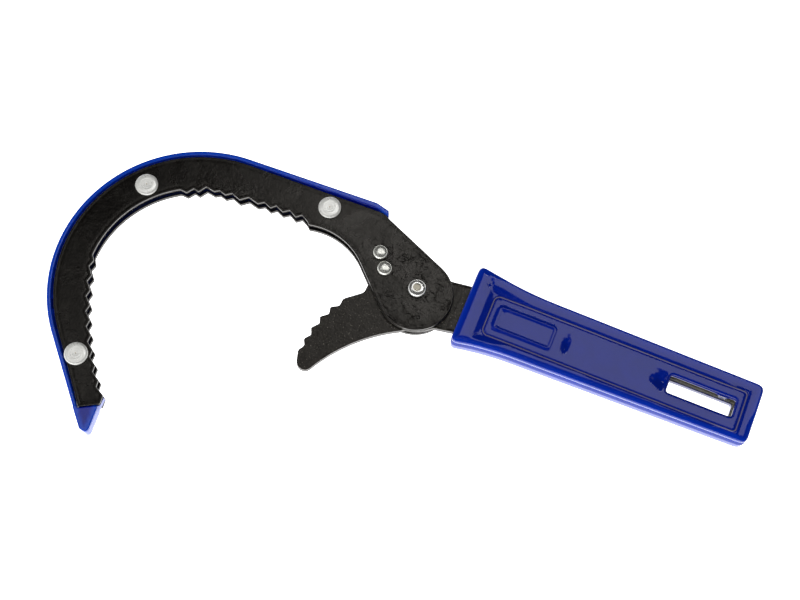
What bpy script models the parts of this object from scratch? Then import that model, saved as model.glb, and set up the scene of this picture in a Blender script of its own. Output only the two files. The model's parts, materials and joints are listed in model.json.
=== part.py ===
"""Claw-type oil filter wrench.

Two identical toothed hook plates and a plastic edge guard are riveted into one hook.  The
hook swings on a rivet through a toothed lever, whose flat tang runs on into the grip.

The tool lies on its back.  +X runs along the handle to its tail, +Z up through the plates.
The drawing below is in millimetres, measured from the axis of the hook's pivot.
"""
import math

import bmesh
import bpy
from mathutils import Vector

MM = 0.001

# Place of the pivot axis, and of the plane through the middle of the plates
PIVOT = Vector((-0.605, 39.140, 0.0))
MID_HEIGHT = 5.8

# Thicknesses, from the middle layer outwards
LEVER_THICKNESS = 3.2
RUNNING_GAP = 0.3
PIVOT_CLEARANCE = 0.1
FIXED_GAP = 0.2
CHEEK_THICKNESS = 2.1

# Hook plate: pivot end, neck, hook and tip
END_CENTRE = (0.2, -2.1)
END_RADIUS = 16.1
SHOULDER_CORNER = (-26.3, 26.5)
SHOULDER_RADIUS = 8.0
HOOK_CENTRE = (-86.2, -34.5)
HOOK_RADIUS = 59.3
HOOK_ARC = (91.7, 221.0)
TIP_CORNERS = ((-108.5, -100.0, 0.6), (-100.8, -95.7, 0.8), (-101.3, -91.8, 0.8))
THROAT_CENTRE = (-86.2, -36.0)
THROAT_RADIUS = 46.1
THROAT_ARC = (182.8, 122.4)
NECK_CENTRE = (-46.7, -18.5)
NECK_RADIUS = 28.6
NECK_ARC = (104.0, 45.0)

# Teeth down the left side of the throat, on an arc of their own
SIDE_TEETH = 9
SIDE_TOOTH_CENTRE = (-1.6, -1.1)
SIDE_TIP_RADIUS = 134.9
SIDE_TOOTH_START = 197.05
SIDE_TOOTH_PITCH = 2.797
SIDE_VALLEY_SHARE = 0.38
SIDE_TOOTH_DEPTH = 1.6

# Teeth along the top of the throat, which are unevenly spaced
TOP_TEETH = ((-107.7, 2.7), (-103.2, 5.0), (-97.2, 7.7), (-92.1, 8.1), (-85.5, 8.4),
             (-77.6, 9.8), (-71.8, 10.1), (-66.2, 10.4), (-60.2, 10.4), (-54.4, 10.3))
TOP_VALLEYS = ((-105.7, 5.6), (-101.1, 8.4), (-95.1, 9.0), (-89.7, 9.9), (-82.3, 11.0),
               (-75.2, 11.5), (-69.8, 12.0), (-63.7, 12.3), (-57.9, 12.3))
TOOTH_ROUNDING = 0.5

# Lever: hub, jaw, stop shoulder and the tang inside the grip
HUB_RADIUS = 12.4
HUB_LOWER_RADIUS = 17.8
JAW_TEETH = ((-27.4, -15.2), (-31.0, -20.6), (-33.4, -26.2),
             (-34.9, -32.1), (-35.8, -37.7), (-36.0, -43.1))
JAW_VALLEYS = ((-27.6, -18.7), (-30.2, -23.7), (-32.2, -29.0), (-33.5, -34.9), (-34.3, -40.3))
JAW_END = ((-34.0, -50.3, 2.4), (-29.2, -50.3, 1.6))
JAW_BACK_CENTRE = (34.7, -81.0)
JAW_BACK_RADIUS = 70.9
JAW_BACK_ARC = (153.2, 118.4)
HUB_ARC = (52.0, 203.0)
HUB_LOWER_ARC = (275.0, 311.0)
STOP_SHOULDER = ((-20.1, -5.0, 0.8), (-20.3, -9.2, 1.6))
TANG_MIDDLE = 1.9
TANG_HALF_WIDTH = 9.8
TANG_END = 144.2

# Grip sleeve: each side tapers to the tail and flares on an arc near the head; hanging slot
GRIP_START = 20.9
GRIP_END = 149.6
GRIP_UPPER = {"head": 16.6, "tail": 15.7, "flare_start": 56.0, "flare_radius": 150.0}
GRIP_LOWER = {"head": 13.8, "tail": 11.0, "flare_start": 48.0, "flare_radius": 135.0}
GRIP_CORNER = 1.8
GRIP_EDGE_ROUNDING = 1.6
SLOT_START = 111.7
SLOT_END = 140.0
SLOT_MIDDLE = 1.25
SLOT_HALF_WIDTH = 3.95
SLOT_CORNER = 1.0

# Edge guard: T-section strip, web between the plates, thick tip
GUARD_INNER_OFFSET = 0.9
GUARD_OUTER_OFFSET = 2.9
GUARD_RIM_INSET = 0.3
GUARD_END = ((-23.3, 26.2, 0.3), (-24.3, 28.6, 0.5), (-30.4, 30.1, 2.0))
GUARD_END_INNER = ((-28.6, 27.4, 2.0), (-24.2, 26.1, 0.2))
GUARD_TIP = ((-110.7, -100.8), (-104.3, -107.9, 1.0), (-100.3, -108.8, 2.2),
             (-101.2, -96.3, 0.8), (-108.6, -100.5, 0.4))
GUARD_TIP_INNER = (-105.5, -104.0)
GUARD_WEB_THROAT = 48.4
GUARD_WEB_SIDE_RADIUS = 138.3
GUARD_WEB_TIP = ((-104.0, -105.0), (-101.0, -104.5), (-101.0, -92.3, 0.3), (-105.6, -90.6))
GUARD_WEB_SIDE_ARC = (218.4, 199.5)
GUARD_WEB_THROAT_ARC = (180.0, 104.0)
GUARD_WEB_TOP = ((-80.0, 14.4), (-60.0, 14.8))
GUARD_WEB_END = ((-38.0, 14.4, 3.0), (-25.0, 24.5, 1.0), (-27.0, 27.6, 0.4))

# Rivets, by the places of their axes
CROWN_RIVET = (-124.7, -0.9)
SHOULDER_RIVET = (-48.2, 19.7)
TIP_RIVET = (-119.0, -80.3)
STOP_RIVET_UPPER = (-20.4, 9.1)
STOP_RIVET_LOWER = (-16.0, 3.1)
FLAT_RIVET = {"head": 4.9, "shank": 2.6, "front": 1.4, "back": 1.4}
STOP_RIVET = {"head": 3.2, "shank": 1.9, "front": 1.8, "back": 1.4}
PIVOT_RIVET = {"head": 3.95, "shank": 3.1, "front": 2.0, "back": 1.4}
SPACER_RADIUS = 3.2
TURNED_SIDES = 24

INNER_FACE = LEVER_THICKNESS / 2 + RUNNING_GAP
OUTER_FACE = INNER_FACE + CHEEK_THICKNESS


def polar(centre, radius, degrees):
    angle = math.radians(degrees)
    return (centre[0] + radius * math.cos(angle), centre[1] + radius * math.sin(angle))


def arc(centre, radius, start, end, steps):
    """Points from one angle to another, both ends included."""
    return [polar(centre, radius, start + (end - start) * i / steps) for i in range(steps + 1)]


def fillet(before, corner, after, radius, steps=3):
    """Replace a corner with a tangent arc, as small as its shorter side needs."""
    at = Vector(corner)
    towards = [Vector(before) - at, Vector(after) - at]
    half_angle = towards[0].angle(towards[1]) / 2
    reach = min(radius / math.tan(half_angle), 0.48 * towards[0].length, 0.48 * towards[1].length)
    ends = [at + side.normalized() * reach for side in towards]
    bisector = (towards[0].normalized() + towards[1].normalized()).normalized()
    centre = at + bisector * reach / math.cos(half_angle)
    spokes = [end - centre for end in ends]
    turn = spokes[0].angle_signed(spokes[1])
    first = math.degrees(math.atan2(spokes[0].y, spokes[0].x))
    return arc(centre, spokes[0].length, first, first - math.degrees(turn), steps)


def rounded(corners):
    """Turn (x, y) points and (x, y, radius) corners into one closed outline."""
    outline = []
    for i, corner in enumerate(corners):
        if len(corner) == 2:
            outline.append(corner)
        else:
            before = corners[i - 1][:2]
            after = corners[(i + 1) % len(corners)][:2]
            outline += fillet(before, corner[:2], after, corner[2])
    return outline


def side_teeth():
    """Corners of the left-hand teeth, from the hook's tip up to the throat."""
    corners = []
    for tooth in reversed(range(SIDE_TEETH)):
        tip_angle = SIDE_TOOTH_START + SIDE_TOOTH_PITCH * tooth
        valley_angle = tip_angle + SIDE_TOOTH_PITCH * SIDE_VALLEY_SHARE
        valley = polar(SIDE_TOOTH_CENTRE, SIDE_TIP_RADIUS + SIDE_TOOTH_DEPTH, valley_angle)
        tip = polar(SIDE_TOOTH_CENTRE, SIDE_TIP_RADIUS, tip_angle)
        corners += [(*valley, TOOTH_ROUNDING), (*tip, TOOTH_ROUNDING)]
    return corners


def toothed(tips, valleys):
    """Corners of a run of teeth, which starts and ends on a tip."""
    corners = [tips[0]]
    for valley, tip in zip(valleys, tips[1:]):
        corners += [valley, tip]
    return [(*corner, TOOTH_ROUNDING) for corner in corners]


def cheek_outline():
    corners = arc(END_CENTRE, END_RADIUS, 229.0, 427.0, 24)
    corners.append((*SHOULDER_CORNER, SHOULDER_RADIUS))
    corners += arc(HOOK_CENTRE, HOOK_RADIUS, *HOOK_ARC, 40)
    corners += TIP_CORNERS
    corners += side_teeth()
    corners += arc(THROAT_CENTRE, THROAT_RADIUS, *THROAT_ARC, 18)
    corners += toothed(TOP_TEETH, TOP_VALLEYS)
    corners += arc(NECK_CENTRE, NECK_RADIUS, *NECK_ARC, 12)
    return rounded(corners)


def tang_corners(grow=0.0, start=None):
    """The tang, lower side first; grow widens it to make the pocket in the grip."""
    low = TANG_MIDDLE - TANG_HALF_WIDTH - grow
    high = TANG_MIDDLE + TANG_HALF_WIDTH + grow
    end = TANG_END + grow
    lower = [(12.4, -12.7 - grow), (20.0, -11.3 - grow), (33.0, low)]
    upper = [(33.0, high), (20.0, 10.7 + grow), (12.5, 9.6 + grow)]
    if start is not None:
        lower[0] = (start, -14.0 - grow)
        upper[-1] = (start, 9.0 + grow)
    return lower + [(end, low, 3.0), (end, high, 3.0)] + upper


def lever_outline():
    corners = arc(JAW_BACK_CENTRE, JAW_BACK_RADIUS, *JAW_BACK_ARC, 14)
    corners += arc((0.0, 0.0), HUB_LOWER_RADIUS, *HUB_LOWER_ARC, 6)
    corners += tang_corners()
    corners += arc((0.0, 0.0), HUB_RADIUS, *HUB_ARC, 20)
    corners += STOP_SHOULDER
    corners += toothed(JAW_TEETH, JAW_VALLEYS)
    corners += JAW_END
    return rounded(corners)


def grip_side(side, sign, steps=8):
    """Corners of one side of the sleeve from head to tail; sign is its side of the pivot line."""
    reach = side["flare_start"] - GRIP_START
    corners = []
    for x in [GRIP_START + reach * i / steps for i in range(steps + 1)] + [GRIP_END]:
        taper = (x - GRIP_START) / (GRIP_END - GRIP_START)
        width = side["head"] + taper * (side["tail"] - side["head"])
        width += (side["flare_radius"]
                  - math.sqrt(side["flare_radius"] ** 2 - max(side["flare_start"] - x, 0.0) ** 2))
        corners.append((x, sign * width))
    return [(*corners[0], GRIP_CORNER), *corners[1:-1], (*corners[-1], GRIP_CORNER)]


def grip_outline():
    return rounded(grip_side(GRIP_LOWER, -1) + list(reversed(grip_side(GRIP_UPPER, 1))))


def slot_outline():
    low = SLOT_MIDDLE - SLOT_HALF_WIDTH
    high = SLOT_MIDDLE + SLOT_HALF_WIDTH
    corners = ((SLOT_START, low), (SLOT_END, low), (SLOT_END, high), (SLOT_START, high))
    return rounded([(*corner, SLOT_CORNER) for corner in corners])


def guard_rim_outline():
    """The strip outside the plates' edges: inner side out to the tip, outer side back."""
    inner = HOOK_RADIUS + GUARD_INNER_OFFSET
    outer = HOOK_RADIUS + GUARD_OUTER_OFFSET
    corners = list(GUARD_END)
    corners += arc(HOOK_CENTRE, outer, *HOOK_ARC, 40)
    corners += [GUARD_TIP[1][:2], GUARD_TIP_INNER]
    corners += arc(HOOK_CENTRE, inner, *reversed(HOOK_ARC), 40)
    corners += GUARD_END_INNER
    return rounded(corners)


def guard_web_outline():
    """The layer between the plates, which stops short of the teeth and of the lever."""
    outer = HOOK_RADIUS + (GUARD_INNER_OFFSET + GUARD_OUTER_OFFSET) / 2
    corners = list(GUARD_WEB_END)
    corners += arc(HOOK_CENTRE, outer, *HOOK_ARC, 40)
    corners += GUARD_WEB_TIP
    corners += arc(SIDE_TOOTH_CENTRE, GUARD_WEB_SIDE_RADIUS, *GUARD_WEB_SIDE_ARC, 8)
    corners += arc(THROAT_CENTRE, GUARD_WEB_THROAT, *GUARD_WEB_THROAT_ARC, 20)
    corners += GUARD_WEB_TOP
    return rounded(corners)


def spacer_outline():
    """A capsule round the two stop rivets."""
    low = Vector(STOP_RIVET_LOWER)
    high = Vector(STOP_RIVET_UPPER)
    along = math.degrees(math.atan2(high.y - low.y, high.x - low.x))
    ends = arc(high, SPACER_RADIUS, along - 90, along + 90, 8)
    return ends + arc(low, SPACER_RADIUS, along + 90, along + 270, 8)


def circle(centre, radius, sides=TURNED_SIDES):
    return [polar(centre, radius, 360.0 * i / sides) for i in range(sides)]


def new_object(name, mesh, material=None):
    thing = bpy.data.objects.new(name, mesh)
    bpy.context.scene.collection.objects.link(thing)
    if material:
        mesh.materials.append(material)
    return thing


def mesh_from(name, bm):
    mesh = bpy.data.meshes.new(name)
    bm.to_mesh(mesh)
    bm.free()
    return mesh


def plate_bmesh(outline, holes, bottom, top):
    """A flat plate of any outline, its holes cut straight through."""
    bm = bmesh.new()
    edges = []
    for loop in [outline] + list(holes):
        ring = [bm.verts.new((x * MM, y * MM, (MID_HEIGHT + bottom) * MM)) for x, y in loop]
        edges += [bm.edges.new((ring[i - 1], ring[i])) for i in range(len(ring))]
    bmesh.ops.triangle_fill(bm, use_beauty=True, use_dissolve=False, edges=edges, normal=(0, 0, 1))
    raised = bmesh.ops.extrude_face_region(bm, geom=bm.faces[:])
    moved = [v for v in raised["geom"] if isinstance(v, bmesh.types.BMVert)]
    bmesh.ops.translate(bm, verts=moved, vec=(0, 0, (top - bottom) * MM))
    bmesh.ops.recalc_face_normals(bm, faces=bm.faces)
    return bm


def plate(name, outline, holes, bottom, top, material=None):
    return new_object(name, mesh_from(name, plate_bmesh(outline, holes, bottom, top)), material)


def combine(thing, tool, operation):
    """Add or cut a second solid with a Boolean, and keep the tool out of sight."""
    tool.hide_render = True
    tool.display_type = "WIRE"
    step = thing.modifiers.new(f"{operation.lower()} {tool.name}", "BOOLEAN")
    step.operation = operation
    step.object = tool
    step.solver = "EXACT"


def turned(name, profile, centre, material):
    """A solid of revolution about Z; profile runs (radius, height) from bottom to top."""
    bm = bmesh.new()
    points = [bm.verts.new((r * MM, 0, h * MM)) for r, h in profile]
    edges = [bm.edges.new(pair) for pair in zip(points, points[1:])]
    bmesh.ops.spin(bm, geom=points + edges, cent=(0, 0, 0), axis=(0, 0, 1), angle=2 * math.pi,
                   steps=TURNED_SIDES, use_merge=True)
    bmesh.ops.remove_doubles(bm, verts=bm.verts, dist=1e-6)
    bmesh.ops.recalc_face_normals(bm, faces=bm.faces)
    mesh = mesh_from(name, bm)
    mesh.shade_smooth()
    mesh.set_sharp_from_angle(angle=math.radians(35))
    rivet = new_object(name, mesh, material)
    rivet.location = Vector((centre[0], centre[1], MID_HEIGHT)) * MM
    return rivet


def dome(radius, height, flat, steps=4):
    """Head profile from its rim to its crown, as (radius, height above the plate)."""
    rim = 0.25 * height
    curve = [(flat + (radius - flat) * math.cos(a), rim + (height - rim) * math.sin(a))
             for a in (math.pi / 2 * i / steps for i in range(steps + 1))]
    return [(radius, 0.0)] + curve + [(0.0, height)]


def rivet(name, sizes, centre, flat, material):
    """One-piece rivet through the stack, with a head on each side."""
    seat = OUTER_FACE + FIXED_GAP
    front = [(r, seat + h) for r, h in dome(sizes["head"], sizes["front"], flat)]
    back = [(r, -seat - h) for r, h in dome(sizes["head"], sizes["back"], flat)]
    shank = [(sizes["shank"], -seat), (sizes["shank"], seat)]
    return turned(name, list(reversed(back)) + shank + front, centre, material)


def material(name, colour, roughness, metallic):
    made = bpy.data.materials.new(name)
    made.use_nodes = True
    shader = made.node_tree.nodes["Principled BSDF"]
    shader.inputs["Base Color"].default_value = (*colour, 1.0)
    shader.inputs["Roughness"].default_value = roughness
    shader.inputs["Metallic"].default_value = metallic
    return made


def make_cheeks(steel):
    flat_holes = [circle(at, FLAT_RIVET["shank"] + FIXED_GAP)
                  for at in (CROWN_RIVET, SHOULDER_RIVET, TIP_RIVET)]
    stop_holes = [circle(at, STOP_RIVET["shank"] + FIXED_GAP)
                  for at in (STOP_RIVET_UPPER, STOP_RIVET_LOWER)]
    holes = flat_holes + stop_holes + [circle((0.0, 0.0), PIVOT_RIVET["shank"] + FIXED_GAP)]
    outline = cheek_outline()
    front = plate("front_cheek", outline, holes, INNER_FACE, OUTER_FACE, steel)
    back = plate("back_cheek", outline, holes, -OUTER_FACE, -INNER_FACE, steel)
    return [front, back]


def make_guard(plastic):
    half_web = INNER_FACE - FIXED_GAP
    half_rim = OUTER_FACE - GUARD_RIM_INSET
    half_tip = OUTER_FACE - GUARD_RIM_INSET / 3
    holes = [circle(at, FLAT_RIVET["shank"] + FIXED_GAP)
             for at in (CROWN_RIVET, SHOULDER_RIVET, TIP_RIVET)]
    guard = plate("edge_guard", guard_web_outline(), holes, -half_web, half_web, plastic)
    rim = plate("guard rim", guard_rim_outline(), [], -half_rim, half_rim)
    tip = plate("guard tip", rounded(GUARD_TIP), [], -half_tip, half_tip)
    for addition in (rim, tip):
        combine(guard, addition, "UNION")
    return [guard, rim, tip]


def make_spacer(steel):
    holes = [circle(at, STOP_RIVET["shank"] + FIXED_GAP) for at in (STOP_RIVET_UPPER, STOP_RIVET_LOWER)]
    half = INNER_FACE - FIXED_GAP
    return plate("stop_spacer", spacer_outline(), holes, -half, half, steel)


def make_rivets(zinc, steel):
    made = [rivet("crown_rivet", FLAT_RIVET, CROWN_RIVET, 3.9, zinc),
            rivet("shoulder_rivet", FLAT_RIVET, SHOULDER_RIVET, 3.9, zinc),
            rivet("tip_rivet", FLAT_RIVET, TIP_RIVET, 3.9, zinc),
            rivet("stop_rivet_upper", STOP_RIVET, STOP_RIVET_UPPER, 0.8, zinc),
            rivet("stop_rivet_lower", STOP_RIVET, STOP_RIVET_LOWER, 0.8, zinc)]
    return made + [rivet("pivot_rivet", PIVOT_RIVET, (0.0, 0.0), 1.9, steel)]


def make_lever(steel):
    half = LEVER_THICKNESS / 2
    holes = [circle((0.0, 0.0), PIVOT_RIVET["shank"] + PIVOT_CLEARANCE), slot_outline()]
    return plate("lever", lever_outline(), holes, -half, half, steel)


def make_grip(plastic):
    """The sleeve: rounded edges, a pocket for the tang and the slot right through."""
    bm = plate_bmesh(grip_outline(), [], -MID_HEIGHT, MID_HEIGHT)
    edges = [e for e in bm.edges if len(e.link_faces) == 2 and e.calc_face_angle() > math.radians(80)
             and abs(e.verts[0].co.z - e.verts[1].co.z) < 1e-6]
    bmesh.ops.bevel(bm, geom=edges, offset=GRIP_EDGE_ROUNDING * MM, segments=3, profile=0.5,
                    affect="EDGES", clamp_overlap=True)
    grip = new_object("grip", mesh_from("grip", bm), plastic)
    half = LEVER_THICKNESS / 2 + RUNNING_GAP
    pocket = plate("tang pocket", rounded(tang_corners(RUNNING_GAP, 5.0)), [], -half, half)
    slot = plate("hanging slot", slot_outline(), [], -2 * MID_HEIGHT, 2 * MID_HEIGHT)
    combine(grip, pocket, "DIFFERENCE")
    combine(grip, slot, "DIFFERENCE")
    return [grip, pocket, slot]


def parent_at_pivot(name, things):
    """Hang a body's pieces on an empty that stands on the pivot axis."""
    empty = bpy.data.objects.new(name, None)
    bpy.context.scene.collection.objects.link(empty)
    empty.location = PIVOT * MM
    for thing in things:
        thing.parent = empty


def main():
    for old in list(bpy.data.objects):
        bpy.data.objects.remove(old)
    black = material("black paint", (0.022, 0.020, 0.018), 0.45, 0.0)
    blue = material("blue plastic", (0.008, 0.014, 0.20), 0.25, 0.0)
    zinc = material("zinc-plated steel", (0.62, 0.61, 0.58), 0.35, 1.0)
    bright = material("bright steel", (0.66, 0.65, 0.61), 0.22, 1.0)
    hook = make_cheeks(black) + make_guard(blue) + [make_spacer(zinc)] + make_rivets(zinc, bright)
    handle = [make_lever(black)] + make_grip(blue)
    parent_at_pivot("hook", hook)
    parent_at_pivot("handle", handle)


main()
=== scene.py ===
"""Looks of a claw-type oil filter wrench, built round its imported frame.

Lengths are in millimetres until a mesh is made.  Outlines come from level cuts through the
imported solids.  Places on the tool are measured from the hook's pivot, +X towards the tail.
"""

import json
import math

import bmesh
import bpy
import numpy as np
from mathutils import Matrix, Vector, kdtree, noise
from mathutils.geometry import delaunay_2d_cdt


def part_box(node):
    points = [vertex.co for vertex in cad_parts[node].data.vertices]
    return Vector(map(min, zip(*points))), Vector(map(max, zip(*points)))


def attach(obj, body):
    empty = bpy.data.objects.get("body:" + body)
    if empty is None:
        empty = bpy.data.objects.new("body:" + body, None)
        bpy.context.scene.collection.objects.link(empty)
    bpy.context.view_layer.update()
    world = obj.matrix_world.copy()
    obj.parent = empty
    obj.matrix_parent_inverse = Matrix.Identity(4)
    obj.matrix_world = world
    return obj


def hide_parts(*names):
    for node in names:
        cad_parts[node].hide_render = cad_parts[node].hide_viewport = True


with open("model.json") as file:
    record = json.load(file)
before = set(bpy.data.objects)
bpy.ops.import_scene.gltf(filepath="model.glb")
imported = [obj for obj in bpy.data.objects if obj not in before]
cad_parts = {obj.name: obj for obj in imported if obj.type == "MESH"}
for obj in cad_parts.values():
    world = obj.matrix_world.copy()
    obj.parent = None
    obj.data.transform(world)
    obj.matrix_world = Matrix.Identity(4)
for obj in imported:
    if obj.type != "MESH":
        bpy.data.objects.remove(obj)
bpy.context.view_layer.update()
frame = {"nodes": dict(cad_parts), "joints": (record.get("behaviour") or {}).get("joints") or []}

MM = 0.001
PIVOT = np.array(frame["joints"][0]["pos_m"]) / MM

# Heights of the layers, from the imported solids
FRONT_LOW, FRONT_TOP = (corner.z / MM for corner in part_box("front_cheek"))
BACK_LOW, BACK_TOP = (corner.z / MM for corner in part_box("back_cheek"))
LEVER_LOW, LEVER_TOP = (corner.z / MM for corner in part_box("lever"))
GRIP_LOW, GRIP_TOP = (corner.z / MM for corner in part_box("grip"))
GUARD_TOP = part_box("edge_guard")[1].z / MM
MIDDLE = (GRIP_LOW + GRIP_TOP) / 2

# Camera, from the pivot: place, point looked at, roll, and lens on a 36 mm wide sensor
CAMERA_PLACE = (47.42, -181.70, 547.05)
CAMERA_TARGET = (-4.71, -7.37, 9.8)
CAMERA_ROLL = 5.648
CAMERA_LENS = 60.75


def from_pivot(place):
    """A place given in millimetres from the pivot's axis and the floor, in the frame's metres."""
    return Vector((PIVOT[0] + place[0], PIVOT[1] + place[1], place[2])) * MM


# ---------------------------------------------------------------- plane outlines

def unit(vectors):
    return vectors / np.maximum(np.linalg.norm(vectors, axis=-1, keepdims=True), 1e-9)


def left_of(vectors):
    return np.stack((-vectors[..., 1], vectors[..., 0]), axis=-1)


def area(loop):
    after = np.roll(loop, -1, axis=0)
    return 0.5 * float(np.sum(loop[:, 0] * after[:, 1] - after[:, 0] * loop[:, 1]))


def straightened(loop):
    """The loop without its repeated points and the points along its straight runs."""
    loop = loop[np.linalg.norm(loop - np.roll(loop, 1, axis=0), axis=1) > 1e-3]
    back = unit(loop - np.roll(loop, 1, axis=0))
    ahead = unit(np.roll(loop, -1, axis=0) - loop)
    turn = back[:, 0] * ahead[:, 1] - back[:, 1] * ahead[:, 0]
    return loop[np.abs(turn) > 2e-3]


def section(node, height):
    """Closed outlines where a level plane cuts a CAD node, each with the material on its left."""
    bm = bmesh.new()
    bm.from_mesh(frame["nodes"][node].data)
    bmesh.ops.remove_doubles(bm, verts=bm.verts, dist=1e-6)
    everything = bm.verts[:] + bm.edges[:] + bm.faces[:]
    cut = bmesh.ops.bisect_plane(bm, geom=everything, dist=1e-8,
                                 plane_co=(0, 0, height * MM), plane_no=(0, 0, 1))
    links = {}
    for edge in cut["geom_cut"]:
        if isinstance(edge, bmesh.types.BMEdge):
            for one, other in (edge.verts, reversed(edge.verts)):
                links.setdefault(one, []).append(other)
    loops = []
    while links:
        at = next(iter(links))
        chain = []
        while at in links:
            chain.append((at.co.x / MM, at.co.y / MM))
            onward = links.pop(at)
            at = next((v for v in onward if v in links), None)
        loops.append(straightened(np.array(chain)))
    bm.free()
    loops.sort(key=lambda loop: -abs(area(loop)))
    return [loop if (area(loop) > 0) == (i == 0) else loop[::-1] for i, loop in enumerate(loops)]


def offset(loop, distance):
    """The loop moved to its left by mitred corners."""
    normal_in = left_of(unit(loop - np.roll(loop, 1, axis=0)))
    normal_out = left_of(unit(np.roll(loop, -1, axis=0) - loop))
    mitre = unit(normal_in + normal_out)
    stretch = np.maximum(np.sum(mitre * normal_in, axis=1, keepdims=True), 0.4)
    return loop + mitre * distance / stretch


def stepped(loop, step):
    """The loop with no run between two points longer than step."""
    points = []
    for here, there in zip(loop, np.roll(loop, -1, axis=0)):
        count = max(1, math.ceil(np.linalg.norm(there - here) / step))
        points += [here + (there - here) * i / count for i in range(count)]
    return np.array(points)


def softened(loop, step=1.0, times=2, longest=2.0):
    """The loop with its corners and facets cut round, each cut reaching a quarter of a step."""
    loop = stepped(loop, step)
    for _ in range(times):
        after = np.roll(loop, -1, axis=0)
        loop = np.stack((0.75 * loop + 0.25 * after, 0.25 * loop + 0.75 * after), 1).reshape(-1, 2)
    return stepped(straightened(loop), longest)


def smoothed(loop, window, step=0.25, keep=4):
    """The loop with its corners rounded by a moving average over a length of window."""
    closed = np.vstack((loop, loop[:1]))
    run = np.concatenate(([0.0], np.cumsum(np.linalg.norm(np.diff(closed, axis=0), axis=1))))
    count = int(run[-1] / step / keep) * keep
    at = np.arange(count) * run[-1] / count
    points = np.column_stack([np.interp(at, run, closed[:, i]) for i in (0, 1)])
    half = int(window / step / 2)
    total = sum(np.roll(points, shift, axis=0) for shift in range(-half, half + 1))
    return (total / (2 * half + 1))[::keep]


def distance(points, loops):
    """Distance from each point to the nearest side of the loops."""
    loops = [stepped(loop, 2.0) for loop in loops]
    start = np.vstack(loops)
    along = np.vstack([np.roll(loop, -1, axis=0) - loop for loop in loops])
    order = np.split(np.arange(len(start)), np.cumsum([len(loop) for loop in loops])[:-1])
    before = np.concatenate([np.roll(part, 1) for part in order])
    tree = kdtree.KDTree(len(start))
    for i, (x, y) in enumerate(start):
        tree.insert((x, y, 0), i)
    tree.balance()
    near = np.array([[hit[1] for hit in tree.find_n((x, y, 0), 3)] for x, y in points])
    sides = np.hstack((near, before[near]))
    start, along = start[sides], along[sides]
    gap = points[:, None, :] - start
    share = np.sum(gap * along, axis=2) / np.maximum(np.sum(along * along, axis=2), 1e-12)
    return np.linalg.norm(gap - np.clip(share, 0, 1)[..., None] * along, axis=2).min(axis=1)


def inside(points, loops):
    """Whether each point is within the outer loop and in none of the holes."""
    odd = np.zeros(len(points), bool)
    for loop in loops:
        after = np.roll(loop, -1, axis=0)
        for low in range(0, len(points), 4000):
            x = points[low:low + 4000, 0, None]
            y = points[low:low + 4000, 1, None]
            spans = (loop[:, 1] > y) != (after[:, 1] > y)
            rise = np.where(after[:, 1] == loop[:, 1], 1e-12, after[:, 1] - loop[:, 1])
            crossing = loop[:, 0] + (y - loop[:, 1]) * (after[:, 0] - loop[:, 0]) / rise
            odd[low:low + 4000] ^= (np.sum(spans & (x < crossing), axis=1) % 2).astype(bool)
    return odd


def rectangle(x_low, x_high, y_low, y_high, radii, steps=6):
    """Rounded rectangle, anticlockwise from its lower left, in millimetres from the pivot."""
    corners = (((x_low, y_low), (1, 1), 180), ((x_high, y_low), (-1, 1), 270),
               ((x_high, y_high), (-1, -1), 0), ((x_low, y_high), (1, -1), 90))
    points = []
    for (corner, inward, start), radius in zip(corners, radii):
        centre = np.array(corner) + np.array(inward) * radius
        for i in range(steps + 1):
            angle = math.radians(start + 90 * i / steps)
            points.append(centre + radius * np.array((math.cos(angle), math.sin(angle))))
    return np.array(points) + PIVOT[:2]


def smoothstep(low, high, value):
    share = np.clip((value - low) / (high - low), 0, 1)
    return share * share * (3 - 2 * share)


def ripple(points, length, seed=0.0):
    """Smooth noise over the plane, from about -1 to 1, with waves of the given length."""
    return np.array([noise.noise(Vector((x / length, y / length, seed))) for x, y in points]) * 2


def rounding(depth, radius):
    """Drop of a surface near its edge, where it turns down through a quarter circle."""
    across = np.clip(radius - depth, 0, radius)
    return radius - np.sqrt(np.maximum(radius * radius - across * across, 0))


def eased(depth, width, radius=0.45, slope=0.64):
    """Drop of a surface that leans over a wide edge before it turns down."""
    across = np.clip(width - depth, 0, width)
    return slope * across * across / (2 * width) + rounding(depth, radius)


def arc_insets(radius, steps=5):
    return [radius * (1 - math.cos(math.pi / 2 * i / steps)) for i in range(steps + 1)]


# ---------------------------------------------------------------- solids

# Step between rows of grid points, and their room to the rings, as shares of the spacing
ROW_STEP = 0.87
ROOM = 0.55
# Twice the area, in square millimetres, below which a triangle is a sliver
SLIVER = 1e-4


def plane_mesh(loops, insets, spacing, guides=()):
    """Triangles over the loops' inside, with rows of points along the edges and the guides."""
    rings = [offset(loop, inset) for loop in loops for inset in insets]
    rings += guides
    edges = []
    count = 0
    for ring in rings:
        edges += [(count + i, count + (i + 1) % len(ring)) for i in range(len(ring))]
        count += len(ring)
    low = loops[0].min(axis=0)
    high = loops[0].max(axis=0)
    rows = np.arange(low[1], high[1], spacing * ROW_STEP)
    columns = np.arange(low[0], high[0], spacing)
    grid = np.array([(x + (i % 2) * spacing / 2, y) for i, y in enumerate(rows) for x in columns])
    grid = grid[inside(grid, loops)]
    grid = grid[distance(grid, rings) > ROOM * spacing]
    points = np.vstack(rings + [grid])
    flat, _, faces, _, _, _ = delaunay_2d_cdt([Vector(p) for p in points], edges, [], 0, 1e-6)
    flat = np.array([tuple(p) for p in flat])
    faces = np.array(faces)
    return flat, faces[inside(flat[faces].mean(axis=1), loops)]


def rim_edges(faces):
    """Directed edges that only one triangle uses, with the triangle on their left."""
    pairs = {(a, b) for face in faces for a, b in zip(face, face[1:] + face[:1])}
    return [(a, b) for a, b in pairs if (b, a) not in pairs]


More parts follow.
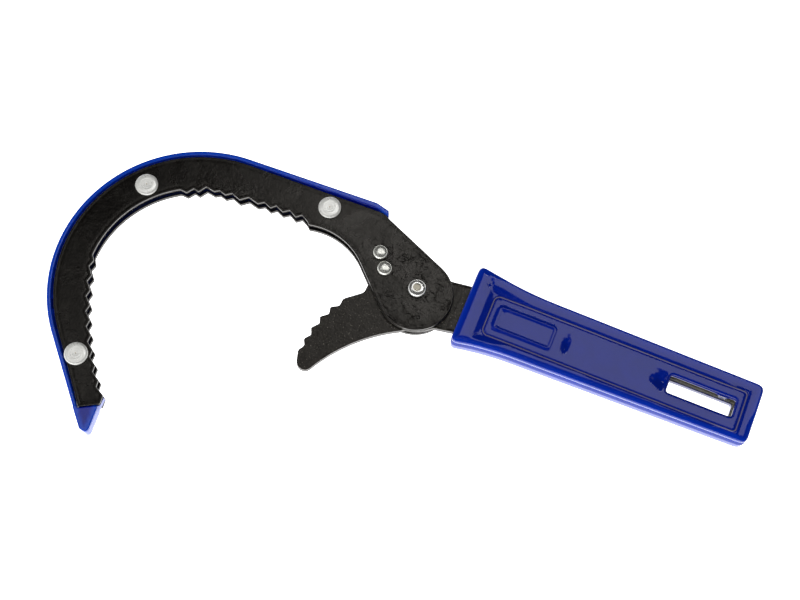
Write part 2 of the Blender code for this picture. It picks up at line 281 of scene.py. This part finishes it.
def without_slivers(flat, faces):
    """Drop the triangles without area that lie along the rim, until none is left."""
    while True:
        rim = set(rim_edges(faces.tolist()))
        first, second, third = (flat[faces[:, i]] for i in range(3))
        one, two = second - first, third - first
        thin = np.abs(one[:, 0] * two[:, 1] - one[:, 1] * two[:, 0]) < SLIVER
        at_rim = np.array([any(pair in rim for pair in zip(face, face[1:] + face[:1]))
                           for face in faces.tolist()])
        if not (thin & at_rim).any():
            return faces
        faces = faces[~(thin & at_rim)]


def slab(name, flat, faces, top, bottom, rings=()):
    """A closed solid between two surfaces over the same triangles.

    rings are rows of the side wall: (share of the way down, outward in mm), where outward is a
    number or a function of the rim's points.
    """
    rim = sorted(rim_edges(faces.tolist()))
    ids = sorted({v for pair in rim for v in pair})
    place = {v: i for i, v in enumerate(ids)}
    outward = np.zeros((len(ids), 2))
    for a, b in rim:
        side = -left_of(unit(flat[b] - flat[a]))
        outward[place[a]] += side
        outward[place[b]] += side
    outward = unit(outward)
    count = len(flat)
    points = [np.column_stack((flat, top)), np.column_stack((flat, bottom))]
    for share, out in rings:
        height = top[ids] * (1 - share) + bottom[ids] * share
        reach = out(flat[ids]) if callable(out) else np.full(len(ids), out)
        points.append(np.column_stack((flat[ids] + outward * reach[:, None], height)))
    last = len(rings) + 1

    def vertex(v, layer):
        if layer in (0, last):
            return v + count * (layer == last)
        return 2 * count + (layer - 1) * len(ids) + place[v]

    polygons = faces.tolist() + (faces[:, ::-1] + count).tolist()
    for layer in range(last):
        under = layer + 1
        polygons += [(vertex(b, layer), vertex(a, layer), vertex(a, under), vertex(b, under))
                     for a, b in rim]
    mesh = bpy.data.meshes.new(name)
    mesh.from_pydata((np.vstack(points) * MM).tolist(), [], polygons)
    mesh.validate()
    return mesh


def store(mesh, label, function):
    """Keep a value from 0 to 1 at each vertex, from its place in the plane."""
    places = np.empty(len(mesh.vertices) * 3)
    mesh.vertices.foreach_get("co", places)
    flat = places.reshape(-1, 3)[:, :2] / MM
    layer = mesh.attributes.new(label, "FLOAT", "POINT")
    layer.data.foreach_set("value", function(flat))


def turned(name, profile, steps=96):
    """A solid of revolution; profile runs (radius, height) in millimetres, bottom to top."""
    bm = bmesh.new()
    points = [bm.verts.new((r * MM, 0, h * MM)) for r, h in profile]
    edges = [bm.edges.new(pair) for pair in zip(points, points[1:])]
    bmesh.ops.spin(bm, geom=points + edges, cent=(0, 0, 0), axis=(0, 0, 1),
                   angle=2 * math.pi, steps=steps, use_merge=True)
    bmesh.ops.remove_doubles(bm, verts=bm.verts, dist=1e-6)
    bmesh.ops.recalc_face_normals(bm, faces=bm.faces)
    mesh = bpy.data.meshes.new(name)
    bm.to_mesh(mesh)
    bm.free()
    return mesh


def piece(name, mesh, body, look, node, crease=32):
    """Put a mesh into the scene as the piece that stands for a CAD node."""
    mesh.shade_smooth()
    mesh.set_sharp_from_angle(angle=math.radians(crease))
    mesh.materials.append(look)
    thing = bpy.data.objects.new(name, mesh)
    bpy.context.scene.collection.objects.link(thing)
    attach(thing, body)
    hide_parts(node)
    return thing


# ---------------------------------------------------------------- materials

def new_material(name):
    made = bpy.data.materials.new(name)
    made.use_nodes = True
    nodes = made.node_tree.nodes
    return made, nodes, made.node_tree.links, nodes["Principled BSDF"]


def coordinates(nodes, links):
    """Object coordinates in millimetres."""
    source = nodes.new("ShaderNodeTexCoord")
    mapping = nodes.new("ShaderNodeMapping")
    mapping.inputs["Scale"].default_value = (1 / MM,) * 3
    links.new(source.outputs["Object"], mapping.inputs["Vector"])
    return mapping.outputs["Vector"]


def noise_node(nodes, links, vector, scale, detail=4.0, roughness=0.55, distortion=0.0):
    made = nodes.new("ShaderNodeTexNoise")
    made.inputs["Scale"].default_value = scale
    made.inputs["Detail"].default_value = detail
    made.inputs["Roughness"].default_value = roughness
    made.inputs["Distortion"].default_value = distortion
    links.new(vector, made.inputs["Vector"])
    return made.outputs["Fac"]


def ramp(nodes, links, factor, stops):
    """Colour ramp; stops are (position, value or colour)."""
    made = nodes.new("ShaderNodeValToRGB")
    elements = made.color_ramp.elements
    while len(elements) < len(stops):
        elements.new(0.5)
    for element, (position, colour) in zip(elements, stops):
        element.position = position
        shade = colour if isinstance(colour, tuple) else (colour,) * 3
        element.color = (*shade, 1.0)
    links.new(factor, made.inputs["Fac"])
    return made.outputs["Color"]


def mixed(nodes, links, factor, first, second):
    made = nodes.new("ShaderNodeMix")
    made.data_type = "RGBA"
    links.new(factor, made.inputs["Factor"])
    for socket, value in (("A", first), ("B", second)):
        target = next(s for s in made.inputs if s.name == socket and s.type == "RGBA")
        if isinstance(value, tuple):
            target.default_value = (*value, 1.0)
        else:
            links.new(value, target)
    return next(s for s in made.outputs if s.type == "RGBA")


def multiplied(nodes, links, first, second):
    made = nodes.new("ShaderNodeMix")
    made.data_type = "RGBA"
    made.blend_type = "MULTIPLY"
    made.inputs["Factor"].default_value = 1.0
    for source, socket in ((first, "A"), (second, "B")):
        links.new(source, next(s for s in made.inputs if s.name == socket and s.type == "RGBA"))
    return next(s for s in made.outputs if s.type == "RGBA")


def bumped(nodes, links, layers):
    """Chained bumps; layers are (height output, depth in mm, strength)."""
    normal = None
    for height, depth, strength in layers:
        made = nodes.new("ShaderNodeBump")
        made.inputs["Strength"].default_value = strength
        made.inputs["Distance"].default_value = depth * MM
        links.new(height, made.inputs["Height"])
        if normal:
            links.new(normal, made.inputs["Normal"])
        normal = made.outputs["Normal"]
    return normal


def nearness(nodes, links, vector, centre, low, high):
    """1 within low of a point in millimetres, falling to 0 at high."""
    gap = nodes.new("ShaderNodeVectorMath")
    gap.operation = "DISTANCE"
    links.new(vector, gap.inputs[0])
    gap.inputs[1].default_value = centre
    fade = nodes.new("ShaderNodeMapRange")
    fade.interpolation_type = "SMOOTHSTEP"
    fade.inputs["From Min"].default_value = low
    fade.inputs["From Max"].default_value = high
    fade.inputs["To Min"].default_value = 1.0
    fade.inputs["To Max"].default_value = 0.0
    links.new(gap.outputs["Value"], fade.inputs["Value"])
    return fade.outputs["Result"]


# Tint of the paint's gloss, and the grey that a bump node reads as no height
WARM_GLOSS = (1.0, 0.95, 0.88, 1.0)
NO_HEIGHT = (0.5, 0.5, 0.5)
PAINT_TONES = ((0.30, (0.0014, 0.0012, 0.0010)), (0.70, (0.0036, 0.0032, 0.0028)))
LEVER_TONES = ((0.35, (0.0045, 0.0038, 0.0030)), (0.65, (0.0085, 0.0075, 0.0062)))
SLOT_STEEL = (0.085, 0.080, 0.055)


def black_paint():
    """Satin black paint over pressed plate: mottled, pitted near the pivot, a few light rubs."""
    made, nodes, links, shader = new_material("black_paint")
    at = coordinates(nodes, links)
    broad = noise_node(nodes, links, at, 0.07, 3.0, 0.5, 0.5)
    mottle = noise_node(nodes, links, at, 0.42, 2.0, 0.5, 0.3)
    lumps = noise_node(nodes, links, at, 0.36, 1.5, 0.5, 0.8)
    grain = noise_node(nodes, links, at, 1.3, 1.0, 0.5)
    near = nearness(nodes, links, at, tuple(PIVOT), 12.0, 44.0)
    tone = ramp(nodes, links, mottle, PAINT_TONES)
    clouds = noise_node(nodes, links, at, 0.15, 6.0, 0.72)
    haze = ramp(nodes, links, clouds, ((0.52, 0.0), (0.74, 0.6)))
    colour = mixed(nodes, links, haze, tone, (0.016, 0.015, 0.013))
    links.new(colour, shader.inputs["Base Color"])
    gloss = ramp(nodes, links, broad, ((0.35, 0.22), (0.65, 0.33)))
    links.new(gloss, shader.inputs["Roughness"])
    shader.inputs["Specular Tint"].default_value = WARM_GLOSS
    islands = noise_node(nodes, links, at, 0.16, 1.0, 0.5)
    patches = ramp(nodes, links, islands, ((0.48, 0.0), (0.62, 1.0)))
    rough = mixed(nodes, links, patches, NO_HEIGHT, lumps)
    rough_here = mixed(nodes, links, near, NO_HEIGHT, rough)
    mottle_here = mixed(nodes, links, near, NO_HEIGHT, mottle)
    normal = bumped(nodes, links, ((mottle, 0.085, 1.0), (rough_here, 0.55, 1.0),
                                   (mottle_here, 0.20, 1.0), (grain, 0.06, 1.0)))
    links.new(normal, shader.inputs["Normal"])
    return made


def lever_paint():
    """Thinner, finer paint with light specks, dull inside the hanging slot."""
    made, nodes, links, shader = new_material("lever_paint")
    at = coordinates(nodes, links)
    fine = noise_node(nodes, links, at, 1.1, 2.0, 0.5)
    broad = noise_node(nodes, links, at, 0.16, 2.0)
    tone = ramp(nodes, links, broad, LEVER_TONES)
    dots = noise_node(nodes, links, at, 1.5, 2.0, 0.5)
    speck = ramp(nodes, links, dots, ((0.65, 0.0), (0.70, 0.9)))
    colour = mixed(nodes, links, speck, tone, (0.13, 0.12, 0.10))
    gloss = ramp(nodes, links, fine, ((0.35, 0.28), (0.65, 0.40)))
    middle = tuple(PIVOT + np.array((125.0, 1.0, 0.0)))
    in_slot = nearness(nodes, links, at, middle, 16.0, 18.0)
    colour = mixed(nodes, links, in_slot, colour, SLOT_STEEL)
    links.new(colour, shader.inputs["Base Color"])
    links.new(mixed(nodes, links, in_slot, gloss, (0.80, 0.80, 0.80)), shader.inputs["Roughness"])
    shader.inputs["Specular Tint"].default_value = WARM_GLOSS
    normal = bumped(nodes, links, ((broad, 0.20, 1.0), (fine, 0.17, 1.0)))
    links.new(normal, shader.inputs["Normal"])
    return made


def blue_plastic(name, stops):
    """Glossy moulded plastic. A painted glow makes it lighter towards thin edges, standing in for
    light passing through them, and a painted highlight runs along the grip bead's crest.
    """
    made, nodes, links, shader = new_material(name)
    at = coordinates(nodes, links)
    flow = noise_node(nodes, links, at, 0.10, 3.0, 0.5, 0.6)
    skin = noise_node(nodes, links, at, 0.9, 3.0, 0.5)
    # painted glow: an attribute that lightens the body colour towards thin edges
    painted_edge_glow = nodes.new("ShaderNodeAttribute")
    painted_edge_glow.attribute_name = "painted_edge_glow"
    body = ramp(nodes, links, painted_edge_glow.outputs["Fac"], stops)
    # painted highlight: a lavender-grey line along the grip bead's crest
    painted_crest_highlight = nodes.new("ShaderNodeAttribute")
    painted_crest_highlight.attribute_name = "painted_crest_highlight"
    body = mixed(nodes, links, painted_crest_highlight.outputs["Fac"], body, (0.105, 0.085, 0.120))
    shade = ramp(nodes, links, flow, ((0.30, 0.86), (0.70, 1.0)))
    links.new(multiplied(nodes, links, body, shade), shader.inputs["Base Color"])
    gloss = ramp(nodes, links, skin, ((0.35, 0.10), (0.7, 0.17)))
    links.new(gloss, shader.inputs["Roughness"])
    shader.inputs["IOR"].default_value = 1.5
    normal = bumped(nodes, links, ((flow, 0.10, 0.35), (skin, 0.012, 0.4)))
    links.new(normal, shader.inputs["Normal"])
    return made


# Body colours along the painted glow: the first stop is the plastic's own blue; the lighter stops
# are painted glow and highlight near the edges
GRIP_BLUES = ((0.0, (0.0004, 0.0110, 0.215)), (0.5, (0.0007, 0.0140, 0.262)),
              (1.0, (0.0010, 0.024, 0.330)))
GUARD_BLUES = ((0.0, (0.0006, 0.0070, 0.210)), (0.45, (0.0012, 0.0200, 0.300)),
               (1.0, (0.0030, 0.048, 0.430)))


def metal(name, tones, metallic, roughness, depth, rings, turned_marks=0.0):
    """Plated or bare metal with tones in rings; rings are stops of (radius in mm, colour)."""
    made, nodes, links, shader = new_material(name)
    at = coordinates(nodes, links)
    cloud = noise_node(nodes, links, at, 0.22, 3.0, 0.55)
    grain = noise_node(nodes, links, at, 1.5, 2.0, 0.5)
    tone = ramp(nodes, links, cloud, ((0.32, tones[0]), (0.68, tones[1])))
    flat = nodes.new("ShaderNodeVectorMath")
    flat.operation = "MULTIPLY"
    flat.inputs[1].default_value = (1.0, 1.0, 0.0)
    links.new(at, flat.inputs[0])
    radius = nodes.new("ShaderNodeVectorMath")
    radius.operation = "LENGTH"
    links.new(flat.outputs["Vector"], radius.inputs[0])
    share = nodes.new("ShaderNodeMapRange")
    share.inputs["From Max"].default_value = RING_REACH
    links.new(radius.outputs["Value"], share.inputs["Value"])
    stops = [(reach / RING_REACH, shade) for reach, shade in rings]
    # turned rings and a centre speck, plus painted shade at the rim for the flat heads
    ring_tones_and_rim_shade = ramp(nodes, links, share.outputs["Result"], stops)
    links.new(multiplied(nodes, links, tone, ring_tones_and_rim_shade), shader.inputs["Base Color"])
    shader.inputs["Metallic"].default_value = metallic
    gloss = ramp(nodes, links, cloud, ((0.3, roughness[1]), (0.7, roughness[0])))
    links.new(gloss, shader.inputs["Roughness"])
    normal = bumped(nodes, links, ((cloud, depth, 0.4), (grain, depth / 5, 0.4)))
    links.new(normal, shader.inputs["Normal"])
    if turned_marks:
        along = nodes.new("ShaderNodeTangent")
        along.direction_type = "RADIAL"
        along.axis = "Z"
        links.new(along.outputs["Tangent"], shader.inputs["Tangent"])
        shader.inputs["Anisotropic"].default_value = turned_marks
    return made


# ---------------------------------------------------------------- pieces

def cheek_relief(points, depth):
    """Waviness of a pressed, painted cheek: a rolled rim, and shallow dents round the pivot."""
    from_axis = np.linalg.norm(points - PIVOT[:2], axis=1)
    near = 1 - smoothstep(12.0, 40.0, from_axis)
    dents = np.maximum(ripple(points, 3.4, 3.1) - 0.3, 0)
    dents = dents + np.maximum(ripple(points, 2.2, 8.4) - 0.35, 0)
    rim = np.exp(-((depth - 1.3) / 0.35) ** 2)
    return 0.012 * ripple(points, 9.0, 1.7) - (0.01 + 0.09 * near) * dents - 0.095 * rim


def lever_relief(points, depth):
    """Fine waviness, and a pressed ridge across the shank where it goes into the grip."""
    x = points[:, 0] - PIVOT[0]
    step = np.interp(x, *zip(*SHANK_STEP)) * (x < SHANK_END)
    return 0.010 * ripple(points, 5.0, 2.9) + step * smoothstep(0.2, 1.0, depth)


# Height of the shank's face below the lever's, along the shank from the pivot
SHANK_STEP = ((11.0, 0.0), (15.2, -0.30), (16.6, -0.04), (17.2, -0.04), (18.6, -0.42),
              (40.0, -0.42))
SHANK_END = 60.0


def plate(name, low, top, look, body, radii, spacing, loops, relief):
    """A pressed plate: rolled edge on its outer side, sheared wall, slight relief."""
    front_radius, back_radius = radii
    insets = arc_insets(max(radii), 4)
    flat, faces = plane_mesh(loops, insets + [insets[-1] + 0.25, 1.0, 1.3, 1.65], spacing)
    faces = without_slivers(flat, faces)
    depth = distance(flat, loops)
    wave = np.minimum(relief(flat, depth) * smoothstep(0.3, 1.2, depth), 0.0)
    upper = top - rounding(depth, front_radius) + wave
    lower = low + rounding(depth, back_radius) - wave
    mesh = slab(name, flat, faces, upper, lower, ((0.36, 0.0), (0.44, -0.06), (0.92, -0.10)))
    piece(name + "_shell", mesh, body, look, name)


def make_plates():
    paint = black_paint()
    for name, low, top, radii in (("front_cheek", FRONT_LOW, FRONT_TOP, (0.45, 0.25)),
                                  ("back_cheek", BACK_LOW, BACK_TOP, (0.25, 0.45))):
        loops = [softened(loop, 1.3) for loop in section(name, (low + top) / 2)]
        plate(name, low, top, paint, "hook", radii, 0.9, loops, cheek_relief)
    loops = [softened(loop, 3.0) for loop in section("lever", (LEVER_LOW + LEVER_TOP) / 2)]
    blunt = smoothed(loops[0], 4.2)
    at_end = blunt[:, 1] < PIVOT[1] - 46.0
    sharp = smoothed(loops[0], 0.5)
    loops[0] = np.where(at_end[:, None], blunt, sharp)
    plate("lever", LEVER_LOW, LEVER_TOP, lever_paint(), "handle", (0.35, 0.35), 1.0,
          loops, lever_relief)


def make_guard():
    """Edge guard: T-section strip, its web between the plates, and the thick tip."""
    outline = [softened(loop, 2.0, 3, 1.5) for loop in section("edge_guard", MIDDLE)]
    rim = softened(section("edge_guard", MIDDLE + 3.0)[0], 3.0, 3, 1.5)
    tip = softened(section("edge_guard", GUARD_TOP - 0.1)[0], 3.0, 3, 1.5)
    edge_radius = 0.75
    tip_radius = 0.45
    guides = [offset(rim, inset) for inset in (0.02, *arc_insets(edge_radius, 5)[1:])]
    flat, faces = plane_mesh(outline, [0.0], 1.2, guides)
    high = inside(flat, [offset(rim, 0.01)])
    within_tip = inside(flat, [offset(tip, -0.5)])
    radius = np.where(within_tip, tip_radius, edge_radius)
    rim_top = GUARD_TOP - 0.2 + 0.15 * within_tip
    half = np.where(high, rim_top - MIDDLE - rounding(distance(flat, [rim]), radius), 1.7)
    mesh = slab("edge_guard", flat, faces, MIDDLE + half, MIDDLE - half)
    outer = outline[0]
    # painted glow: lighter outer band within 2.6 mm of the guard's outer edge
    store(mesh, "painted_edge_glow", lambda places: 1 - smoothstep(1.3, 2.6, distance(places, [outer])))
    look = blue_plastic("blue_guard", GUARD_BLUES)
    piece("edge_guard_shell", mesh, "hook", look, "edge_guard")


# Grip face, in millimetres from the pivot: bead round the panel, and the label frame inside it
BEAD = dict(x_low=32.0, x_high=143.3, y_low=-8.2, y_high=9.8, radii=(2.6, 1.6, 1.6, 2.6))
LABEL = dict(x_low=35.8, x_high=60.3, y_low=-3.8, y_high=5.6, radii=(1.2, 1.2, 1.2, 1.2))
LAND_DROP = 0.30
EDGE_INSET = 0.30
# Widths of the leaning edge: upper side, lower side, head end
FRONT_EDGE = (1.1, 2.6, 3.3)
# Slot: radius of its edge, and how far its lower side moves up
SLOT_EDGE = 1.3
SLOT_LIP = 0.35
BEAD_RIDGE = ((-0.62, 0.0), (-0.36, -0.14), (-0.14, 0.20), (0.14, 0.20), (0.36, -0.14),
              (0.62, 0.0))
# Sink marks: centre, reach up, down, left and right, depth
SINKS = (((67.2, 0.5), (5.0, 3.2, 0.5), 0.85), ((109.8, 1.2), (4.8, 6.2, 0.5), 1.25),
         ((28.6, 14.2), (2.4, 2.6, 0.5), 0.60))


def grip_face(flat, outline, slot, bead, label):
    """Height of the grip's face from its highest plane: land, dished head, bead and label frame."""
    x, y = (flat - PIVOT[:2]).T
    gap = distance(flat, [bead]) * np.where(inside(flat, [bead]), -1, 1)
    head = 1 - smoothstep(31.0, 50.0, x)
    tail = smoothstep(131.0, 142.0, x)
    land = 0.30 * np.clip((x - 20.0) / 8.3, 0, 1) * (1 - smoothstep(29.0, 36.0, x))
    land = -LAND_DROP + land
    panel = -LAND_DROP - 0.20 - 0.45 * head + 0.42 * tail
    plain = smoothstep(38.0, 46.0, x) * (1 - smoothstep(-9.0, -6.0, y))
    plain = plain * (1 - smoothstep(138.0, 143.0, x))
    ramp_end = (1.3 + 2.4 * head) * (1 - plain) + 0.8 * plain
    middle = (BEAD["x_low"] + BEAD["x_high"]) / 2, (BEAD["y_low"] + BEAD["y_high"]) / 2
    square = np.maximum(np.abs(x - middle[0]) - BEAD["x_high"] + middle[0],
                        np.abs(y - middle[1]) - BEAD["y_high"] + middle[1])
    ramp_share = np.clip((np.maximum(square, gap * (gap < 0.6)) - 0.6) / (ramp_end - 0.6), 0, 1)
    height = panel + (land - panel) * ramp_share
    height += np.interp(gap, *zip(*BEAD_RIDGE), left=0, right=0)
    near = distance(flat, [label])
    left_side = 1 - smoothstep(37.0, 39.0, x)
    inner = 0.55 + 1.25 * left_side
    crest = 0.24 + 0.22 * left_side
    within = inside(flat, [label])
    slope = np.where(within, np.clip((near - 0.2) / inner, 0, 1),
                     np.clip((near - 0.2) / 0.9, 0, 1))
    height += crest * (1 - slope)
    for (cx, cy), (tall, left, right), depth in SINKS:
        across = np.where(x < cx, (cx - x) / left, (x - cx) / right)
        reach = np.hypot(across, (y - cy) / tall) + 0.16 * ripple(flat, 2.2, cx)
        height -= depth * np.clip(1 - reach, 0, 1)
    height += 0.02 * ripple(flat, 12.0, 5.2)
    upper, lower, end = FRONT_EDGE
    edge = lower + (upper - lower) * smoothstep(-4.0, 4.0, y)
    edge += (end - edge) * (1 - smoothstep(24.0, 36.0, x))
    height = height - eased(distance(flat, [outline]), edge)
    return height - rounding(distance(flat, [slot]), SLOT_EDGE)


def make_grip():
    """Grip sleeve: two mould halves that meet at a parting line, a panel and a hanging slot."""
    cut = section("grip", LEVER_TOP + 0.5)
    outline = smoothed(cut[0], 4.6)
    slot = softened(cut[1], 0.5, 1, 0.8)
    slot[:, 1] += SLOT_LIP * (slot[:, 1] < PIVOT[1] + 1.3)
    front = offset(outline, EDGE_INSET)
    bead = stepped(rectangle(**BEAD), 1.0)
    label = stepped(rectangle(**LABEL), 0.8)
    across = [at for at, _ in BEAD_RIDGE]
    guides = [offset(bead, -out) for out in (*across, 1.0, 1.4, 1.9, 2.7, 3.6)]
    guides += [offset(label, d) for d in (-1.1, -0.65, -0.2, 0.2, 0.75, 1.25)]
    edge_rows = (0.04, 0.15, 0.28, 0.45, 0.8, 1.1, 1.5, 2.0, 2.6, 3.3)
    guides += [offset(front, inset) for inset in edge_rows]
    guides += [offset(slot, inset) for inset in arc_insets(SLOT_EDGE, 5)[1:]]
    flat, faces = plane_mesh([front, slot], [0.0], 0.9, guides)
    relief = grip_face(flat, front, slot, bead, label)
    upper = GRIP_TOP + relief
    flank = rounding(distance(flat, [front]), 0.8) + rounding(distance(flat, [slot]), 0.8)
    lower = GRIP_LOW + flank + 0.4 * np.clip(-relief - LAND_DROP - 0.1, 0, 1) * (flank < 0.01)

    def wall(front_out, slot_out, bulge=0.0):
        def reach(points):
            hole = distance(points, [slot]) < 0.5
            x, y = (points - PIVOT[:2]).T
            swell = bulge * np.exp(-((x - 134.5) / 3.2) ** 2) * (y > 4.0)
            return np.where(hole, slot_out + swell, front_out)
        return reach

    rings = ((0.06, wall(-0.01, 0.0, 0.2)), (0.10, wall(-0.02, -0.6, 0.6)),
             (0.24, wall(-0.18, -0.9, 0.9)), (0.35, wall(-0.37, -0.9, 1.2)),
             (0.45, wall(0.24, -0.7, 0.6)), (0.50, wall(0.30, -0.7)),
             (0.53, wall(0.10, -0.7)), (0.675, wall(0.14, -0.7)), (0.68, wall(0.14, 0.1)),
             (0.88, wall(0.24, 0.1)), (0.96, wall(0.14, 0.05)))
    mesh = slab("grip", flat, faces, upper, lower, rings)
    # painted glow: lighter plastic within 5.5 mm of the grip's outline
    store(mesh, "painted_edge_glow", lambda places: 1 - smoothstep(0.0, 5.5, distance(places, [outline])))
    # painted highlight along the bead's crest, fading within about half a millimetre
    store(mesh, "painted_crest_highlight", lambda places: np.exp(-(distance(places, [bead]) / 0.24) ** 2))
    look = blue_plastic("blue_grip", GRIP_BLUES)
    piece("grip_shell", mesh, "handle", look, "grip")


def rivet_profile(node, flat_radius, rings):
    """Profile of a rivet from its CAD node's box: two heads and the shank between the plates."""
    low, high = (np.array(corner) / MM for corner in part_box(node))
    radius = (high[0] - low[0]) / 2
    seats = (BACK_LOW - 0.1, FRONT_TOP + 0.1)
    front = high[2] - seats[1]
    back = seats[0] - low[2]

    def head(height):
        rim = 0.30 * height
        steps = 10
        curve = [(flat_radius + (radius - flat_radius) * math.cos(math.pi / 2 * i / steps),
                  rim + (height - rim) * math.sin(math.pi / 2 * i / steps))
                 for i in range(steps + 1)]
        face = [(r, height - drop) for r, drop in rings] + [(0.0, height - rings[-1][1])]
        return [(radius - 0.05, 0.0)] + curve + face

    shank = 0.55 * radius
    upper = [(r, seats[1] + h) for r, h in head(front)]
    lower = [(r, seats[0] - h) for r, h in head(back)]
    return list(reversed(lower)) + [(shank, seats[0]), (shank, seats[1])] + upper


# Tones by distance from a rivet's axis, and the distance that they are a share of; the last,
# darkest stop of FLAT_TONES is painted shade on the head's rounded rim
RING_REACH = 6.0
FLAT_TONES = ((0.0, (0.50, 0.42, 0.30)), (0.45, 1.0), (1.15, 0.88), (1.5, 1.0),
              (2.2, 0.90), (2.6, 1.0), (3.3, 0.93), (3.7, 1.0), (4.4, 0.66))


def make_rivets():
    plain = ((0.0, 1.0), (4.0, 1.0))
    zinc = metal("zinc_flat", ((0.86, 0.86, 0.82), (1.0, 1.0, 0.96)), 0.40, (0.24, 0.32), 0.02,
                 FLAT_TONES, turned_marks=0.75)
    domed = metal("zinc_dome", ((0.72, 0.72, 0.67), (0.86, 0.86, 0.80)), 0.85, (0.22, 0.28), 0.01,
                  plain)
    steel = metal("turned_steel", ((0.80, 0.80, 0.77), (0.92, 0.92, 0.89)), 0.90, (0.15, 0.19),
                  0.01, ((0.0, (0.34, 0.32, 0.27)), (1.65, (0.34, 0.32, 0.27)), (1.95, 1.0),
                         (4.0, 1.0)))
    flat_rings = ((2.4, 0.02), (2.2, 0.07), (1.9, 0.04), (1.2, 0.04), (1.0, 0.09), (0.7, 0.06),
                  (0.4, 0.06), (0.2, 0.20))
    dome_rings = ((0.6, 0.0), (0.3, 0.02))
    pivot_rings = ((1.75, 0.0), (1.5, 0.05), (0.8, 0.07), (0.3, 0.07))
    kinds = (("crown_rivet", 2.6, flat_rings, zinc), ("shoulder_rivet", 2.6, flat_rings, zinc),
             ("tip_rivet", 2.6, flat_rings, zinc), ("stop_rivet_upper", 0.8, dome_rings, domed),
             ("stop_rivet_lower", 0.8, dome_rings, domed), ("pivot_rivet", 1.9, pivot_rings, steel))
    for node, flat_radius, rings, look in kinds:
        low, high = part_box(node)
        mesh = turned(node, rivet_profile(node, flat_radius, rings))
        made = piece(node + "_turned", mesh, "hook", look, node, 40)
        made.location = ((low.x + high.x) / 2, (low.y + high.y) / 2, 0)
    frame["nodes"]["stop_spacer"].material_slots[0].material = zinc


# ---------------------------------------------------------------- studio

# Light of the floor as the camera sees it, and what is added for other rays
FLOOR_LIGHT = 1.6
FLOOR_CHANGES = ((0.15, "Is Glossy Ray"), (-0.55, "Is Diffuse Ray"))


def make_floor():
    floor = bpy.data.meshes.new("floor")
    half = 6.0
    floor.from_pydata([(-half, -half, 0), (half, -half, 0), (half, half, 0), (-half, half, 0)],
                      [], [(0, 1, 2, 3)])
    thing = bpy.data.objects.new("floor", floor)
    bpy.context.scene.collection.objects.link(thing)
    thing.location.z = -0.0003
    made, nodes, links, shader = new_material("white_floor")
    shader.inputs["Base Color"].default_value = (0.9, 0.9, 0.9, 1.0)
    shader.inputs["Roughness"].default_value = 1.0
    shader.inputs["Specular IOR Level"].default_value = 0.0
    shader.inputs["Emission Color"].default_value = (1.0, 1.0, 1.0, 1.0)
    rays = nodes.new("ShaderNodeLightPath")
    strength = None
    for share, kind in FLOOR_CHANGES:
        change = nodes.new("ShaderNodeMath")
        change.operation = "MULTIPLY_ADD"
        change.inputs[1].default_value = share
        change.inputs[2].default_value = FLOOR_LIGHT
        links.new(rays.outputs[kind], change.inputs[0])
        if strength:
            links.new(strength, change.inputs[2])
        strength = change.outputs["Value"]
    links.new(strength, shader.inputs["Emission Strength"])
    floor.materials.append(made)


def make_world():
    """A white tent: bright near the horizon, dim overhead."""
    world = bpy.data.worlds.new("studio")
    bpy.context.scene.world = world
    world.use_nodes = True
    nodes, links = world.node_tree.nodes, world.node_tree.links
    source = nodes.new("ShaderNodeTexCoord")
    height = nodes.new("ShaderNodeVectorMath")
    height.operation = "DOT_PRODUCT"
    height.inputs[1].default_value = (0.0, 0.30, 1.0)
    links.new(source.outputs["Generated"], height.inputs[0])
    stops = ((0.0, 1.0), (0.12, 1.0), (0.45, 0.04), (1.0, 0.01))
    shade = ramp(nodes, links, height.outputs["Value"], stops)
    links.new(shade, nodes["Background"].inputs["Color"])
    nodes["Background"].inputs["Strength"].default_value = 1.0


def area_light(name, place, target, size, radiance, glossy=True):
    """Softbox of a given size in metres, with its radiance as seen in a mirror."""
    light = bpy.data.lights.new(name, "AREA")
    light.shape = "RECTANGLE"
    light.size, light.size_y = size
    light.energy = radiance * math.pi * size[0] * size[1]
    thing = bpy.data.objects.new(name, light)
    bpy.context.scene.collection.objects.link(thing)
    thing.location = place
    thing.rotation_mode = "QUATERNION"
    thing.rotation_quaternion = (Vector(target) - Vector(place)).to_track_quat("-Z", "Y")
    thing.visible_glossy = glossy
    thing.visible_camera = False


def make_lights():
    area_light("overhead_softbox", (0.080, 0.30, 0.80), (0.08, 0.0, 0.0), (0.64, 0.24), 1.5)
    area_light("strip", (0.04, 0.475, 0.80), (0.05, 0.0, 0.0), (0.60, 0.02), 6.5)
    area_light("side_softbox", (-0.335, 0.06, 0.80), (-0.1, 0.0, 0.0), (0.16, 0.20), 1.0)
    area_light("fill", (-0.5, -0.5, 1.6), (0, 0, 0), (1.2, 1.2), 4.4, glossy=False)
    area_light("front_card", (0.05, -0.90, 0.26), (0.05, 0.0, 0.0), (1.4, 0.46), 2.2)


def make_camera():
    data = bpy.data.cameras.new("camera")
    data.sensor_width = 36.0
    data.lens = CAMERA_LENS
    data.clip_start = 0.01
    camera = bpy.data.objects.new("camera", data)
    bpy.context.scene.collection.objects.link(camera)
    place = from_pivot(CAMERA_PLACE)
    aim = (from_pivot(CAMERA_TARGET) - place).to_track_quat("-Z", "Y").to_matrix().to_4x4()
    roll = Matrix.Rotation(math.radians(CAMERA_ROLL), 4, "Z")
    camera.matrix_world = Matrix.Translation(place) @ aim @ roll
    bpy.context.scene.camera = camera


make_camera()
make_plates()
make_guard()
make_grip()
make_rivets()
make_floor()
make_world()
make_lights()
bpy.context.scene.view_settings.view_transform = "Standard"
